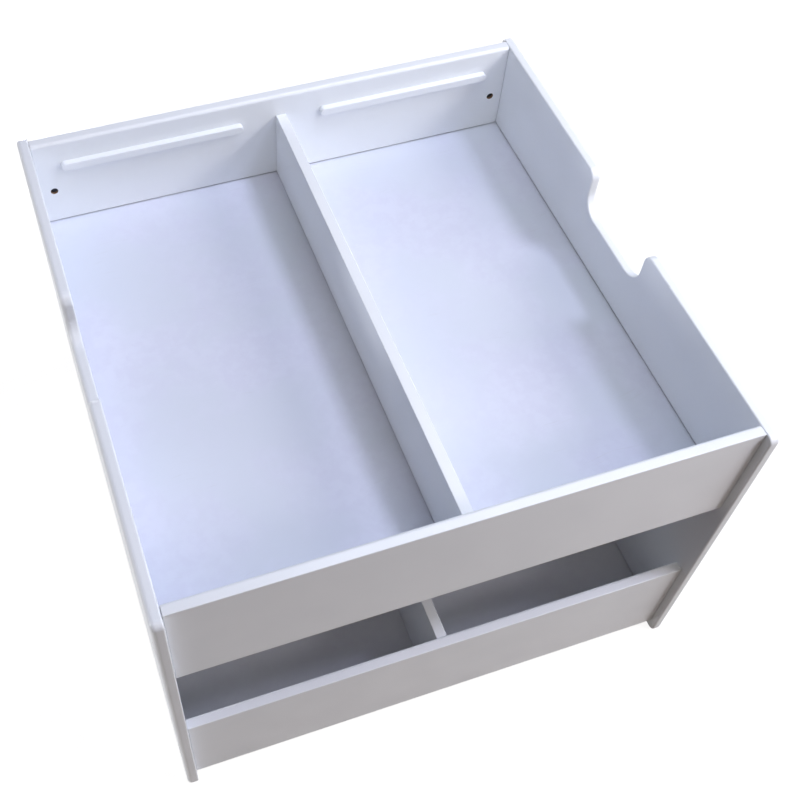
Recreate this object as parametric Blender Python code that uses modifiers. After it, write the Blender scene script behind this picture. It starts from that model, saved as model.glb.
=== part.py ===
"""Building block table: a play table of white painted board, with a tray above and an open bin below.

Two side panels stand on their bottom edges and carry four rails. The upper pair of rails and the tray floor make
a shallow tray, which a divider splits in two and which battens trim with a ledge. The lower pair and the bin floor
make an open bin with a divider of its own. A bolt with a barrel nut and two dowels hold each end of a rail, and
two dowels hold each end of a divider.

X runs across the table, Y from its front to its back and Z up. The origin is on the ground under its middle.
Every length is in metres.
"""

import math

import bmesh
import bpy
from mathutils import Vector

# The whole table
TABLE_WIDTH = 0.592
TABLE_DEPTH = 0.602
TABLE_HEIGHT = 0.427

# The side panels, each with a hand notch in its top edge
PANEL_THICKNESS = 0.012
PANEL_CORNER_RADIUS = 0.008
PANEL_EDGE_ROUND = 0.004
NOTCH_WIDTH = 0.119
NOTCH_DEPTH = 0.052
NOTCH_TOP_RADIUS = 0.012
NOTCH_BASE_RADIUS = 0.023

# The rails, which are the front and back walls of the tray and of the bin
RAIL_THICKNESS = 0.012
UPPER_RAIL_HEIGHT = 0.138
LOWER_RAIL_HEIGHT = 0.138
RAIL_RECESS = 0.009
RAIL_TOP_ROUND = 0.004
RAIL_BOTTOM_ROUND = 0.0015
LOWER_RAIL_CLEARANCE = 0.012

# The floors, which sit in grooves in the panels and the rails
FLOOR_THICKNESS = 0.006
TRAY_FLOOR_RISE = 0.023
BIN_FLOOR_RISE = 0.018
GROOVE_DEPTH = 0.004
GROOVE_PLAY = 0.0007

# The dividers, whose tops lie below the tops of the rails
DIVIDER_THICKNESS = 0.012
DIVIDER_TOP_ROUND = 0.001
LEDGE_DROP = 0.027
BIN_DIVIDER_DROP = 0.004

# The battens, which are level with the tray divider and stop short of the panels and of the divider
BATTEN_HEIGHT = 0.010
BATTEN_DEPTH = 0.007
BATTEN_PANEL_GAP = 0.0285
BATTEN_DIVIDER_GAP = 0.0405

# The bolts, whose flat heads lie flush in the panels, and the barrel nuts in the rails
BOLT_DIAMETER = 0.005
BOLT_HEAD_OVERHANG = 0.0035
BOLT_HEAD_THICKNESS = 0.0025
BOLT_HEAD_CHAMFER = 0.0004
BOLT_HEAD_SINK = 0.0003
BOLT_REACH = 0.002
SOCKET_WIDTH = 0.004
SOCKET_DEPTH = 0.0016
NUT_WALL = 0.0011
NUT_SINK = 0.0025
NUT_SETBACK = 0.0153
NUT_SLOT_WIDTH = 0.001
NUT_SLOT_DEPTH = 0.0008

# The dowels, whose backing is the board left behind the blind end of their holes
DOWEL_DIAMETER = 0.006
DOWEL_LENGTH = 0.030
DOWEL_CHAMFER = 0.001
DOWEL_BACKING = 0.003
RAIL_DOWEL_SPACING = 0.064
DIVIDER_DOWEL_SPACING = 0.032

# Clearances
JOINT_GAP = 0.0003
HOLE_GAP = 0.0003
HOLE_END_PLAY = 0.0005
CUTTER_OVERRUN = 0.002

# How finely round shapes are divided
ARC_STEP = math.radians(15)
RIM_SEGMENTS = 3
BOLT_STEPS = 16
NUT_STEPS = 16
DOWEL_STEPS = 12
SOCKET_SIDES = 6
WELD_DISTANCE = 0.000001
TURN_WELD_DISTANCE = 0.00001

# Places worked out from the sizes
PANEL_OUTER_X = TABLE_WIDTH / 2
PANEL_INNER_X = PANEL_OUTER_X - PANEL_THICKNESS
RAIL_OUTER_Y = TABLE_DEPTH / 2 - RAIL_RECESS
RAIL_INNER_Y = RAIL_OUTER_Y - RAIL_THICKNESS
RAIL_MIDDLE_Y = (RAIL_OUTER_Y + RAIL_INNER_Y) / 2
UPPER_RAIL_BOTTOM = TABLE_HEIGHT - UPPER_RAIL_HEIGHT
LOWER_RAIL_TOP = LOWER_RAIL_CLEARANCE + LOWER_RAIL_HEIGHT
TRAY_FLOOR_TOP = UPPER_RAIL_BOTTOM + TRAY_FLOOR_RISE
BIN_FLOOR_TOP = LOWER_RAIL_CLEARANCE + BIN_FLOOR_RISE
LEDGE_TOP = TABLE_HEIGHT - LEDGE_DROP
BIN_DIVIDER_TOP = LOWER_RAIL_TOP - BIN_DIVIDER_DROP
NUT_X = PANEL_INNER_X - NUT_SETBACK
NUT_RADIUS = BOLT_DIAMETER / 2 + HOLE_GAP + NUT_WALL
BOLT_HEAD_RADIUS = BOLT_DIAMETER / 2 + BOLT_HEAD_OVERHANG

# Turns that stand a flat outline, drawn in X and Y, upright: facing sideways, or facing front and back
FACING_SIDEWAYS = (math.pi / 2, 0.0, math.pi / 2)
FACING_FRONT = (math.pi / 2, 0.0, 0.0)

LEFT, RIGHT = -1, 1
FRONT, BACK = -1, 1
SIDE_NAMES = {LEFT: "left", RIGHT: "right"}
FACE_NAMES = {FRONT: "front", BACK: "back"}


def clear_scene():
    """Remove whatever the scene holds."""
    for old in list(bpy.data.objects):
        bpy.data.objects.remove(old)


def new_collection(name):
    """A collection of that name, linked to the scene."""
    collection = bpy.data.collections.new(name)
    bpy.context.scene.collection.children.link(collection)
    return collection


def principled(name, colour, roughness, metallic):
    """A material with one Principled shader of these values."""
    material = bpy.data.materials.new(name)
    material.use_nodes = True
    shader = material.node_tree.nodes["Principled BSDF"]
    shader.inputs["Base Color"].default_value = (*colour, 1.0)
    shader.inputs["Roughness"].default_value = roughness
    shader.inputs["Metallic"].default_value = metallic
    return material


def white_paint(name):
    """Satin white paint on the edges and faces of a board."""
    return principled(name, (0.84, 0.85, 0.87), 0.42, 0.0)


def zinc_steel(name):
    """Bright zinc-plated steel, as on the bolts."""
    return principled(name, (0.62, 0.63, 0.65), 0.35, 1.0)


def dark_steel(name):
    """Blackened steel, as on the barrel nuts."""
    return principled(name, (0.09, 0.09, 0.10), 0.45, 1.0)


def bare_beech(name):
    """Bare beech, as on a dowel."""
    return principled(name, (0.68, 0.50, 0.32), 0.70, 0.0)


def place(name, mesh, collection, location, rotation):
    """An object for a mesh or a curve, at its place in the collection."""
    part = bpy.data.objects.new(name, mesh)
    part.location = location
    part.rotation_euler = rotation
    collection.objects.link(part)
    return part


def rounded_outline(corners):
    """The points of a closed outline, with each corner (u, v, radius) turned into an arc of its radius."""
    points = []
    for index, (u, v, radius) in enumerate(corners):
        corner = Vector((u, v))
        before = (Vector(corners[index - 1][:2]) - corner).normalized()
        after = (Vector(corners[(index + 1) % len(corners)][:2]) - corner).normalized()
        if radius == 0:
            points.append(corner)
            continue
        half_angle = before.angle(after) / 2
        centre = corner + (before + after).normalized() * radius / math.sin(half_angle)
        first = corner + before * radius / math.tan(half_angle) - centre
        last = corner + after * radius / math.tan(half_angle) - centre
        turn = math.atan2(first.cross(last), first.dot(last))
        steps = math.ceil(abs(turn) / ARC_STEP - 0.001)
        for step in range(steps + 1):
            angle = turn * step / steps
            swung = Vector((
                first.x * math.cos(angle) - first.y * math.sin(angle),
                first.x * math.sin(angle) + first.y * math.cos(angle),
            ))
            points.append(centre + swung)
    return [
        point
        for index, point in enumerate(points)
        if (point - points[index - 1]).length > WELD_DISTANCE
    ]


def board_from_outline(name, outline, thickness, collection, location, rotation):
    """A board with that outline, thickened equally to both sides of its plane, with one face on each side."""
    drawing = bpy.data.curves.new(name, "CURVE")
    drawing.dimensions = "2D"
    drawing.fill_mode = "BOTH"
    drawing.extrude = thickness / 2
    spline = drawing.splines.new("POLY")
    spline.points.add(len(outline) - 1)
    for point, place_on_board in zip(spline.points, outline):
        point.co = (*place_on_board, 0.0, 1.0)
    spline.use_cyclic_u = True
    drawn = place(name + "_outline", drawing, collection, location, rotation)
    graph = bpy.context.evaluated_depsgraph_get()
    mesh = bpy.data.meshes.new_from_object(drawn.evaluated_get(graph))
    mesh.name = name
    board = place(name, mesh, collection, location, rotation)
    bpy.data.objects.remove(drawn)
    bpy.data.curves.remove(drawing)
    shape = bmesh.new()
    shape.from_mesh(mesh)
    bmesh.ops.remove_doubles(shape, verts=shape.verts, dist=WELD_DISTANCE)
    bmesh.ops.dissolve_limit(shape, angle_limit=math.radians(1), verts=shape.verts, edges=shape.edges)
    bmesh.ops.recalc_face_normals(shape, faces=shape.faces)
    shape.to_mesh(mesh)
    shape.free()
    return board


def block(name, low, high, collection):
    """A plain block between two corners, with its origin at its middle."""
    size = Vector(high) - Vector(low)
    mesh = bpy.data.meshes.new(name)
    shape = bmesh.new()
    bmesh.ops.create_cube(shape, size=1.0)
    bmesh.ops.scale(shape, vec=size, verts=shape.verts)
    shape.to_mesh(mesh)
    shape.free()
    return place(name, mesh, collection, (Vector(low) + Vector(high)) / 2, (0.0, 0.0, 0.0))


def turned(name, profile, steps, collection, location, rotation):
    """A shape turned about its own Z axis. The profile's (radius, height) points run from its top to its foot."""
    mesh = bpy.data.meshes.new(name)
    shape = bmesh.new()
    points = [shape.verts.new((radius, 0.0, height)) for radius, height in profile]
    for upper, lower in zip(points, points[1:]):
        shape.edges.new((upper, lower))
    shape.to_mesh(mesh)
    shape.free()
    part = place(name, mesh, collection, location, rotation)
    turn = part.modifiers.new("Turn", "SCREW")
    turn.steps = steps
    turn.render_steps = steps
    turn.use_merge_vertices = True
    turn.merge_threshold = TURN_WELD_DISTANCE
    return part


def prism(name, radius, length, sides, collection, location, rotation):
    """A closed prism or cylinder about its own Z axis, centred on its place."""
    mesh = bpy.data.meshes.new(name)
    shape = bmesh.new()
    bmesh.ops.create_cone(
        shape, cap_ends=True, segments=sides, radius1=radius, radius2=radius, depth=length
    )
    shape.to_mesh(mesh)
    shape.free()
    return place(name, mesh, collection, location, rotation)


def pointing(axis, side):
    """The rotation that points a shape's own Z axis along X or Y, towards plus or minus."""
    if axis == "X":
        return (0.0, side * math.pi / 2, 0.0)
    return (-side * math.pi / 2, 0.0, 0.0)


def round_rim(board, radius):
    """Round over every edge between the flat faces of a board and its rim."""
    shape = bmesh.new()
    shape.from_mesh(board.data)
    weight = shape.edges.layers.float.new("bevel_weight_edge")
    for edge in shape.edges:
        flat_sides = sum(abs(face.normal.z) > 0.9 for face in edge.link_faces)
        edge[weight] = 1.0 if flat_sides == 1 else 0.0
    shape.to_mesh(board.data)
    shape.free()
    bevel = board.modifiers.new("Round rim", "BEVEL")
    bevel.limit_method = "WEIGHT"
    bevel.width = radius
    bevel.segments = RIM_SEGMENTS
    bevel.use_clamp_overlap = False


def cut(part, cutter):
    """Take the cutter's shape out of the part."""
    boolean = part.modifiers.new("Cut " + cutter.name, "BOOLEAN")
    boolean.operation = "DIFFERENCE"
    boolean.solver = "EXACT"
    boolean.object = cutter


def side_panel(side, collection):
    """A side panel: an upright board with round corners, a rounded rim and a hand notch in its top edge."""
    half_depth = TABLE_DEPTH / 2
    notch_floor = TABLE_HEIGHT - NOTCH_DEPTH
    outline = rounded_outline([
        (-half_depth, 0.0, PANEL_CORNER_RADIUS),
        (half_depth, 0.0, PANEL_CORNER_RADIUS),
        (half_depth, TABLE_HEIGHT, PANEL_CORNER_RADIUS),
        (NOTCH_WIDTH / 2, TABLE_HEIGHT, NOTCH_TOP_RADIUS),
        (NOTCH_WIDTH / 2, notch_floor, NOTCH_BASE_RADIUS),
        (-NOTCH_WIDTH / 2, notch_floor, NOTCH_BASE_RADIUS),
        (-NOTCH_WIDTH / 2, TABLE_HEIGHT, NOTCH_TOP_RADIUS),
        (-half_depth, TABLE_HEIGHT, PANEL_CORNER_RADIUS),
    ])
    middle_x = side * (PANEL_OUTER_X - PANEL_THICKNESS / 2)
    panel = board_from_outline(
        SIDE_NAMES[side] + "_side_panel", outline, PANEL_THICKNESS, collection,
        (middle_x, 0.0, 0.0), FACING_SIDEWAYS,
    )
    round_rim(panel, min(PANEL_EDGE_ROUND, PANEL_THICKNESS / 2 - JOINT_GAP))
    return panel


def rail(storey, face, bottom, height, collection):
    """A rail: a board on edge between the panels, with its top arrises well rounded."""
    half = RAIL_THICKNESS / 2
    top_round = min(RAIL_TOP_ROUND, half - JOINT_GAP)
    bottom_round = min(RAIL_BOTTOM_ROUND, half - JOINT_GAP)
    outline = rounded_outline([
        (-half, 0.0, bottom_round),
        (half, 0.0, bottom_round),
        (half, height, top_round),
        (-half, height, top_round),
    ])
    length = 2 * (PANEL_INNER_X - JOINT_GAP)
    return board_from_outline(
        storey + "_" + FACE_NAMES[face] + "_rail", outline, length, collection,
        (0.0, face * RAIL_MIDDLE_Y, bottom), FACING_SIDEWAYS,
    )


def floor_board(name, top, collection):
    """A thin floor whose edges lie in the grooves of the panels and the rails."""
    half_width = PANEL_INNER_X + GROOVE_DEPTH - JOINT_GAP
    half_depth = RAIL_INNER_Y + GROOVE_DEPTH - JOINT_GAP
    return block(
        name,
        (-half_width, -half_depth, top - FLOOR_THICKNESS),
        (half_width, half_depth, top),
        collection,
    )


def groove_cutter(name, floor_top, collection):
    """The room that a floor takes in its neighbours: its own shape and the play round it."""
    half_width = PANEL_INNER_X + GROOVE_DEPTH
    half_depth = RAIL_INNER_Y + GROOVE_DEPTH
    return block(
        name,
        (-half_width, -half_depth, floor_top - FLOOR_THICKNESS - JOINT_GAP),
        (half_width, half_depth, floor_top + GROOVE_PLAY),
        collection,
    )


def divider(name, floor_top, top, collection):
    """A divider: a board on edge from the front rail to the back one, standing on the floor."""
    half = DIVIDER_THICKNESS / 2
    bottom = floor_top + JOINT_GAP
    top_round = min(DIVIDER_TOP_ROUND, half - JOINT_GAP)
    outline = rounded_outline([
        (-half, 0.0, 0.0),
        (half, 0.0, 0.0),
        (half, top - bottom, top_round),
        (-half, top - bottom, top_round),
    ])
    length = 2 * (RAIL_INNER_Y - JOINT_GAP)
    return board_from_outline(name, outline, length, collection, (0.0, 0.0, bottom), FACING_FRONT)


def batten(face, side, collection):
    """A batten on the inner face of an upper rail: a slim bar with round ends, as a ledge for a lid."""
    near = DIVIDER_THICKNESS / 2 + BATTEN_DIVIDER_GAP
    far = PANEL_INNER_X - BATTEN_PANEL_GAP
    half_length = (far - near) / 2
    half_height = BATTEN_HEIGHT / 2
    outline = rounded_outline([
        (-half_length, -half_height, half_height),
        (half_length, -half_height, half_height),
        (half_length, half_height, half_height),
        (-half_length, half_height, half_height),
    ])
    middle_y = RAIL_INNER_Y - JOINT_GAP - BATTEN_DEPTH / 2
    return board_from_outline(
        FACE_NAMES[face] + "_" + SIDE_NAMES[side] + "_batten", outline, BATTEN_DEPTH, collection,
        (side * (near + far) / 2, face * middle_y, LEDGE_TOP - half_height), FACING_FRONT,
    )


def bolt(name, side, location, collection, cutters):
    """A furniture bolt with a flat head and a hexagon socket, its own Z axis pointing out of the panel.

    Its place is the middle of the head's outer face.
    """
    shank_length = PANEL_OUTER_X - BOLT_HEAD_SINK - BOLT_HEAD_THICKNESS - NUT_X + NUT_RADIUS + BOLT_REACH
    profile = [
        (0.0, 0.0),
        (BOLT_HEAD_RADIUS - BOLT_HEAD_CHAMFER, 0.0),
        (BOLT_HEAD_RADIUS, -BOLT_HEAD_CHAMFER),
        (BOLT_HEAD_RADIUS, -BOLT_HEAD_THICKNESS),
        (BOLT_DIAMETER / 2, -BOLT_HEAD_THICKNESS),
        (BOLT_DIAMETER / 2, -BOLT_HEAD_THICKNESS - shank_length),
        (0.0, -BOLT_HEAD_THICKNESS - shank_length),
    ]
    made = turned(name, profile, BOLT_STEPS, collection, location, pointing("X", side))
    socket_radius = SOCKET_WIDTH / 2 / math.cos(math.pi / SOCKET_SIDES)
    socket = prism(
        name + "_socket_cutter", socket_radius, 2 * SOCKET_DEPTH, SOCKET_SIDES, cutters,
        location, pointing("X", side),
    )
    cut(made, socket)
    return made


def bolt_bore_cutter(name, side, location, cutters):
    """The bore for a bolt and, wider, the seat for its head, open towards the outside of the panel."""
    seat_depth = BOLT_HEAD_THICKNESS + JOINT_GAP
    bore_end = PANEL_OUTER_X - BOLT_HEAD_SINK - NUT_X + NUT_RADIUS + BOLT_REACH + HOLE_END_PLAY
    profile = [
        (0.0, CUTTER_OVERRUN),
        (BOLT_HEAD_RADIUS + HOLE_GAP, CUTTER_OVERRUN),
        (BOLT_HEAD_RADIUS + HOLE_GAP, -seat_depth),
        (BOLT_DIAMETER / 2 + HOLE_GAP, -seat_depth),
        (BOLT_DIAMETER / 2 + HOLE_GAP, -bore_end),
        (0.0, -bore_end),
    ]
    return turned(name, profile, BOLT_STEPS, cutters, location, pointing("X", side))


def barrel_nut(name, face, location, collection, cutters):
    """A barrel nut across a rail's thickness, with a screwdriver slot in the end that faces into the table."""
    length = RAIL_THICKNESS - 2 * NUT_SINK
    nut = prism(name, NUT_RADIUS, length, NUT_STEPS, collection, location, pointing("Y", face))
    end_y = location[1] - face * length / 2
    slot = block(
        name + "_slot_cutter",
        (location[0] - NUT_RADIUS - CUTTER_OVERRUN, end_y - NUT_SLOT_DEPTH, location[2] - NUT_SLOT_WIDTH / 2),
        (location[0] + NUT_RADIUS + CUTTER_OVERRUN, end_y + NUT_SLOT_DEPTH, location[2] + NUT_SLOT_WIDTH / 2),
        cutters,
    )
    cut(nut, slot)
    return nut


def nut_hole_cutter(name, face, location, cutters):
    """The blind hole for a barrel nut, open at the inner face of the rail."""
    inner_end = RAIL_INNER_Y - CUTTER_OVERRUN
    outer_end = RAIL_OUTER_Y - NUT_SINK + HOLE_GAP
    middle = (location[0], face * (inner_end + outer_end) / 2, location[2])
    return prism(
        name, NUT_RADIUS + HOLE_GAP, outer_end - inner_end, NUT_STEPS, cutters, middle, pointing("Y", face)
    )


def dowel(name, axis, side, location, collection):
    """A dowel with a chamfer at each end, centred on its place."""
    half = DOWEL_LENGTH / 2
    radius = DOWEL_DIAMETER / 2
    profile = [
        (0.0, half),
        (radius - DOWEL_CHAMFER, half),
        (radius, half - DOWEL_CHAMFER),
        (radius, DOWEL_CHAMFER - half),
        (radius - DOWEL_CHAMFER, -half),
        (0.0, -half),
    ]
    return turned(name, profile, DOWEL_STEPS, collection, location, pointing(axis, side))


def dowel_hole_cutter(name, axis, side, location, cutters):
    """The pair of blind holes that a dowel fills, as one cutter through the joint."""
    return prism(
        name, DOWEL_DIAMETER / 2 + HOLE_GAP, DOWEL_LENGTH + 2 * HOLE_END_PLAY, DOWEL_STEPS, cutters,
        location, pointing(axis, side),
    )


def join_with_dowel(name, boards, axis, side, location, collection, cutters):
    """A dowel across the joint between two boards, and its holes in both."""
    hole = dowel_hole_cutter(name + "_hole_cutter", axis, side, location, cutters)
    for board in boards:
        cut(board, hole)
    return dowel(name, axis, side, location, collection)


def fasten_rail_end(storey, rail_board, panel, face, side, middle, collection, cutters):
    """The bolt, barrel nut and two dowels at one end of a rail. Returns the bolt, the nut and the dowels."""
    corner = storey + "_" + FACE_NAMES[face] + "_" + SIDE_NAMES[side]
    y = face * RAIL_MIDDLE_Y
    head = (side * (PANEL_OUTER_X - BOLT_HEAD_SINK), y, middle)
    nut_place = (side * NUT_X, y, middle)
    bore = bolt_bore_cutter(corner + "_bolt_bore_cutter", side, head, cutters)
    nut_hole = nut_hole_cutter(corner + "_nut_hole_cutter", face, nut_place, cutters)
    nut = barrel_nut(corner + "_barrel_nut", face, nut_place, collection, cutters)
    cut(panel, bore)
    cut(rail_board, bore)
    cut(rail_board, nut_hole)
    cut(nut, bore)
    screw = bolt(corner + "_bolt", side, head, collection, cutters)
    dowel_x = PANEL_OUTER_X - DOWEL_BACKING - DOWEL_LENGTH / 2
    pegs = [
        join_with_dowel(
            corner + "_" + level + "_dowel", (rail_board, panel), "X", side,
            (side * dowel_x, y, middle + offset * RAIL_DOWEL_SPACING / 2), collection, cutters,
        )
        for level, offset in (("low", -1), ("high", 1))
    ]
    return screw, nut, pegs


def fasten_divider_end(name, divider_board, rail_board, face, middle, collection, cutters):
    """The two dowels at one end of a divider."""
    dowel_y = RAIL_OUTER_Y - DOWEL_BACKING - DOWEL_LENGTH / 2
    return [
        join_with_dowel(
            name + "_" + FACE_NAMES[face] + "_" + level + "_dowel", (divider_board, rail_board), "Y", face,
            (0.0, face * dowel_y, middle + offset * DIVIDER_DOWEL_SPACING / 2), collection, cutters,
        )
        for level, offset in (("low", -1), ("high", 1))
    ]


def build_storey(storey, rail_bottom, rail_height, panels, floor, ledge, collection, cutters):
    """One storey: its two rails, floor, divider and fasteners. Returns its boards, bolts, nuts and dowels.

    The floor is (name, height of its top), and the ledge is (divider's name, height of its top).
    """
    floor_name, floor_top = floor
    divider_name, divider_top = ledge
    rails = {face: rail(storey, face, rail_bottom, rail_height, collection) for face in (FRONT, BACK)}
    groove = groove_cutter(floor_name + "_groove_cutter", floor_top, cutters)
    for board in (*panels.values(), *rails.values()):
        cut(board, groove)
    boards = [
        *rails.values(),
        floor_board(floor_name, floor_top, collection),
        divider(divider_name, floor_top, divider_top, collection),
    ]
    bolts = []
    nuts = []
    pegs = []
    for face, rail_board in rails.items():
        for side, panel in panels.items():
            screw, nut, pegged = fasten_rail_end(
                storey, rail_board, panel, face, side, rail_bottom + rail_height / 2, collection, cutters
            )
            bolts.append(screw)
            nuts.append(nut)
            pegs += pegged
        pegs += fasten_divider_end(
            divider_name, boards[-1], rail_board, face, (floor_top + divider_top) / 2, collection, cutters
        )
    return boards, bolts, nuts, pegs


def finish(parts, material_of, table):
    """Give each part its own material and smooth shading, and hang it from the table's empty."""
    for part in parts:
        part.data.materials.append(material_of(part.name + "_finish"))
        part.data.shade_smooth()
        part.data.set_sharp_from_angle(angle=math.radians(30))
        part.parent = table


def main():
    """Build the table."""
    clear_scene()
    collection = new_collection("building_block_table")
    cutters = new_collection("cutters")
    table = bpy.data.objects.new("building_block_table", None)
    collection.objects.link(table)
    panels = {side: side_panel(side, collection) for side in (LEFT, RIGHT)}
    upper = build_storey(
        "upper", UPPER_RAIL_BOTTOM, UPPER_RAIL_HEIGHT, panels,
        ("tray_floor", TRAY_FLOOR_TOP), ("tray_divider", LEDGE_TOP), collection, cutters,
    )
    lower = build_storey(
        "lower", LOWER_RAIL_CLEARANCE, LOWER_RAIL_HEIGHT, panels,
        ("bin_floor", BIN_FLOOR_TOP), ("bin_divider", BIN_DIVIDER_TOP), collection, cutters,
    )
    battens = [batten(face, side, collection) for face in (FRONT, BACK) for side in (LEFT, RIGHT)]
    finish([*panels.values(), *upper[0], *lower[0], *battens], white_paint, table)
    finish([*upper[1], *lower[1]], zinc_steel, table)
    finish([*upper[2], *lower[2]], dark_steel, table)
    finish([*upper[3], *lower[3]], bare_beech, table)
    for cutter in cutters.objects:
        cutter.hide_render = True
        cutter.display_type = "WIRE"


if __name__ == "__main__":
    main()
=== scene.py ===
"""Looks of the building block table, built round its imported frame.

Every board is modelled anew at the place of its CAD node: the side panels with their hand notches, the rails, floors,
dividers and battens, and the bolts, barrel nuts and dowels that join them. X runs across the table, Y from its front
to its back and Z up. Lengths are in metres and colours are linear.
"""
import logging
import math
from abc import ABC, abstractmethod
from collections.abc import Callable, Iterator
from contextlib import contextmanager
from dataclasses import dataclass
from enum import Enum
from itertools import product
from typing import ClassVar

import bmesh
import bpy
from mathutils import Matrix, Vector


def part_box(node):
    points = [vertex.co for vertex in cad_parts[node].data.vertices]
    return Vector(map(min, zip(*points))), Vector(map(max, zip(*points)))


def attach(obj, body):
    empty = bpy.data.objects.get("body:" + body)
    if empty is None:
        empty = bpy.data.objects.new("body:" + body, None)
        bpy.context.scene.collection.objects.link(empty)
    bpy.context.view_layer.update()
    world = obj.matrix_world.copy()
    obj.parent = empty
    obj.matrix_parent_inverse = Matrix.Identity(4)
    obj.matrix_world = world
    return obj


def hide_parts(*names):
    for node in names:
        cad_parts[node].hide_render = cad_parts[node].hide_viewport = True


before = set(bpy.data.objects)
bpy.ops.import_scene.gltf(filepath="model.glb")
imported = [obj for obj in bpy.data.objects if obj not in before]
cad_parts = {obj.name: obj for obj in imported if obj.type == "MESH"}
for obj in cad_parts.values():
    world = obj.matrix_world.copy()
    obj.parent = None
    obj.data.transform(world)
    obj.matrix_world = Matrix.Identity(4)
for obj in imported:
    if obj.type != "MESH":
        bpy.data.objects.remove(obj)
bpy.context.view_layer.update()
BODY = "root"
LOG = logging.getLogger("building_block_table")

Piece = bpy.types.Object
Material = bpy.types.Material
NodeTree = bpy.types.NodeTree
Socket = bpy.types.NodeSocket
Edge = bmesh.types.BMEdge
Colour = tuple[float, float, float]
Place = tuple[float, float, float]
WHITE: Colour = (1.0, 1.0, 1.0)

# How the boards fit: the joint gap round a part, the clearance round a fitting and the play at its end, and the open
# seam above a floor, which is lined with painted shade and shows as a dark line
JOINT_GAP = 0.0003
HOLE_GAP = 0.0003
HOLE_END_PLAY = 0.0005
FLOOR_SEAM = 0.0013

# How far a cutter reaches past the face that it opens, and how many flats make a hole's round
CUT_OVERRUN = 0.002
HOLE_SIDES = 48
DOWEL_HOLE_SIDES = 24

# The bevel profile that gives a quarter circle, the share of an edge or a normal that has to lie along an axis before
# it counts as running that way, how near two places count as one, and the angles of a flat and of a sharp edge
QUARTER_ROUND = 0.5
ALONG = 0.9
NEAR = 0.00005
FLAT_ANGLE = math.radians(1)
SHARP_ANGLE = math.radians(32)

# Where most of a noise's values lie
MOST_NOISE = (0.3, 0.7)


class Side(Enum):
    """A side of the table, with its sign along X."""

    LEFT = -1
    RIGHT = 1


class Face(Enum):
    """The front or the back of the table, with its sign along Y."""

    FRONT = -1
    BACK = 1


class Storey(Enum):
    """The tray above or the bin below."""

    UPPER = "tray"
    LOWER = "bin"


class Axis(Enum):
    """A direction of the table, with its place in a vector."""

    X = 0
    Y = 1
    Z = 2


class Element(Enum):
    """What a selection in edit mode is made of, as Blender's switches for vertices, edges and faces."""

    VERTICES = (True, False, False)
    EDGES = (False, True, False)
    FACES = (False, False, True)


@dataclass(frozen=True)
class Round:
    """A rounded edge or corner: its radius, and how many strips make it."""

    radius: float
    segments: int


def word(choice: Enum) -> str:
    """An option's name in lower case, as the nodes spell it."""
    return choice.name.lower()


def joint(storey: Storey, face: Face, side: Side) -> str:
    """How the nodes' names start in the joint between a rail's end and a panel."""
    return f"{word(storey)}_{word(face)}_{word(side)}_"


def rail_dowels(storey: Storey, face: Face, side: Side) -> list[str]:
    """The nodes of the two dowels in the joint between a rail's end and a panel."""
    return [f"{joint(storey, face, side)}{level}_dowel" for level in ("low", "high")]


def divider_dowels(storey: Storey, face: Face) -> list[str]:
    """The nodes of the two dowels in the joint between a divider's end and a rail."""
    return [f"{storey.value}_divider_{word(face)}_{level}_dowel" for level in ("low", "high")]


def deselect_all() -> None:
    """Leave no object selected."""
    bpy.ops.object.select_all(action="DESELECT")


def take(piece: Piece) -> None:
    """Make a piece the only selected and the active object.

    Args:
        piece: the object to work on.
    """
    deselect_all()
    piece.select_set(True)
    bpy.context.view_layer.objects.active = piece


@contextmanager
def editing(piece: Piece) -> Iterator[None]:
    """Hold a piece in edit mode.

    Args:
        piece: the object to work on.
    """
    take(piece)
    bpy.ops.object.mode_set(mode="EDIT")
    yield
    bpy.ops.object.mode_set(mode="OBJECT")


def choose(piece: Piece, element: Element, test: Callable[[object], bool]) -> None:
    """Select just the vertices, edges or faces of a piece in edit mode that pass a test.

    Args:
        piece: the object in edit mode.
        element: what the selection is made of.
        test: says of one vertex, edge or face whether it belongs.
    """
    bpy.context.tool_settings.mesh_select_mode = element.value
    bpy.ops.mesh.select_all(action="DESELECT")
    shape = bmesh.from_edit_mesh(piece.data)
    parts = {Element.VERTICES: shape.verts, Element.EDGES: shape.edges, Element.FACES: shape.faces}[element]
    for part in [part for part in parts if test(part)]:
        part.select_set(True)
    bmesh.update_edit_mesh(piece.data)


def runs_along(edge: Edge, axis: Axis) -> bool:
    """Whether an edge runs along an axis."""
    run = edge.verts[1].co - edge.verts[0].co
    return abs(run[axis.value]) > ALONG * run.length


def lying_at(place: dict[Axis, float]) -> Callable[[Edge], bool]:
    """A test of whether both ends of an edge have the coordinates that are given."""
    return lambda edge: all(
        abs(vertex.co[axis.value] - at) < NEAR for vertex in edge.verts for axis, at in place.items()
    )


def extrude_along_x(run: float) -> None:
    """Extrude what is selected along X."""
    bpy.ops.mesh.extrude_region_move(TRANSFORM_OT_translate={"value": (run, 0.0, 0.0)})


def narrow_round_x(share: float) -> None:
    """Draw what is selected in towards the X axis, to a share of its width."""
    bpy.ops.transform.resize(value=(1.0, share, share), center_override=(0.0, 0.0, 0.0))


def new_piece(name: str) -> Piece:
    """Name the primitive or copy that was just added, with its place and size put into its mesh.

    Args:
        name: the piece's name.

    Returns:
        The piece.
    """
    piece = bpy.context.object
    piece.name = name
    piece.data.name = name
    bpy.ops.object.transform_apply(location=True, rotation=True, scale=True)
    return piece


def slab(name: str, low: Vector, high: Vector) -> Piece:
    """A block between two corners, ready to be shaped.

    Args:
        name: the piece's name.
        low: its lowest corner.
        high: its highest corner.

    Returns:
        The piece.
    """
    deselect_all()
    bpy.ops.mesh.primitive_cube_add(size=1.0, location=(low + high) / 2, scale=high - low)
    return new_piece(name)


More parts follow.
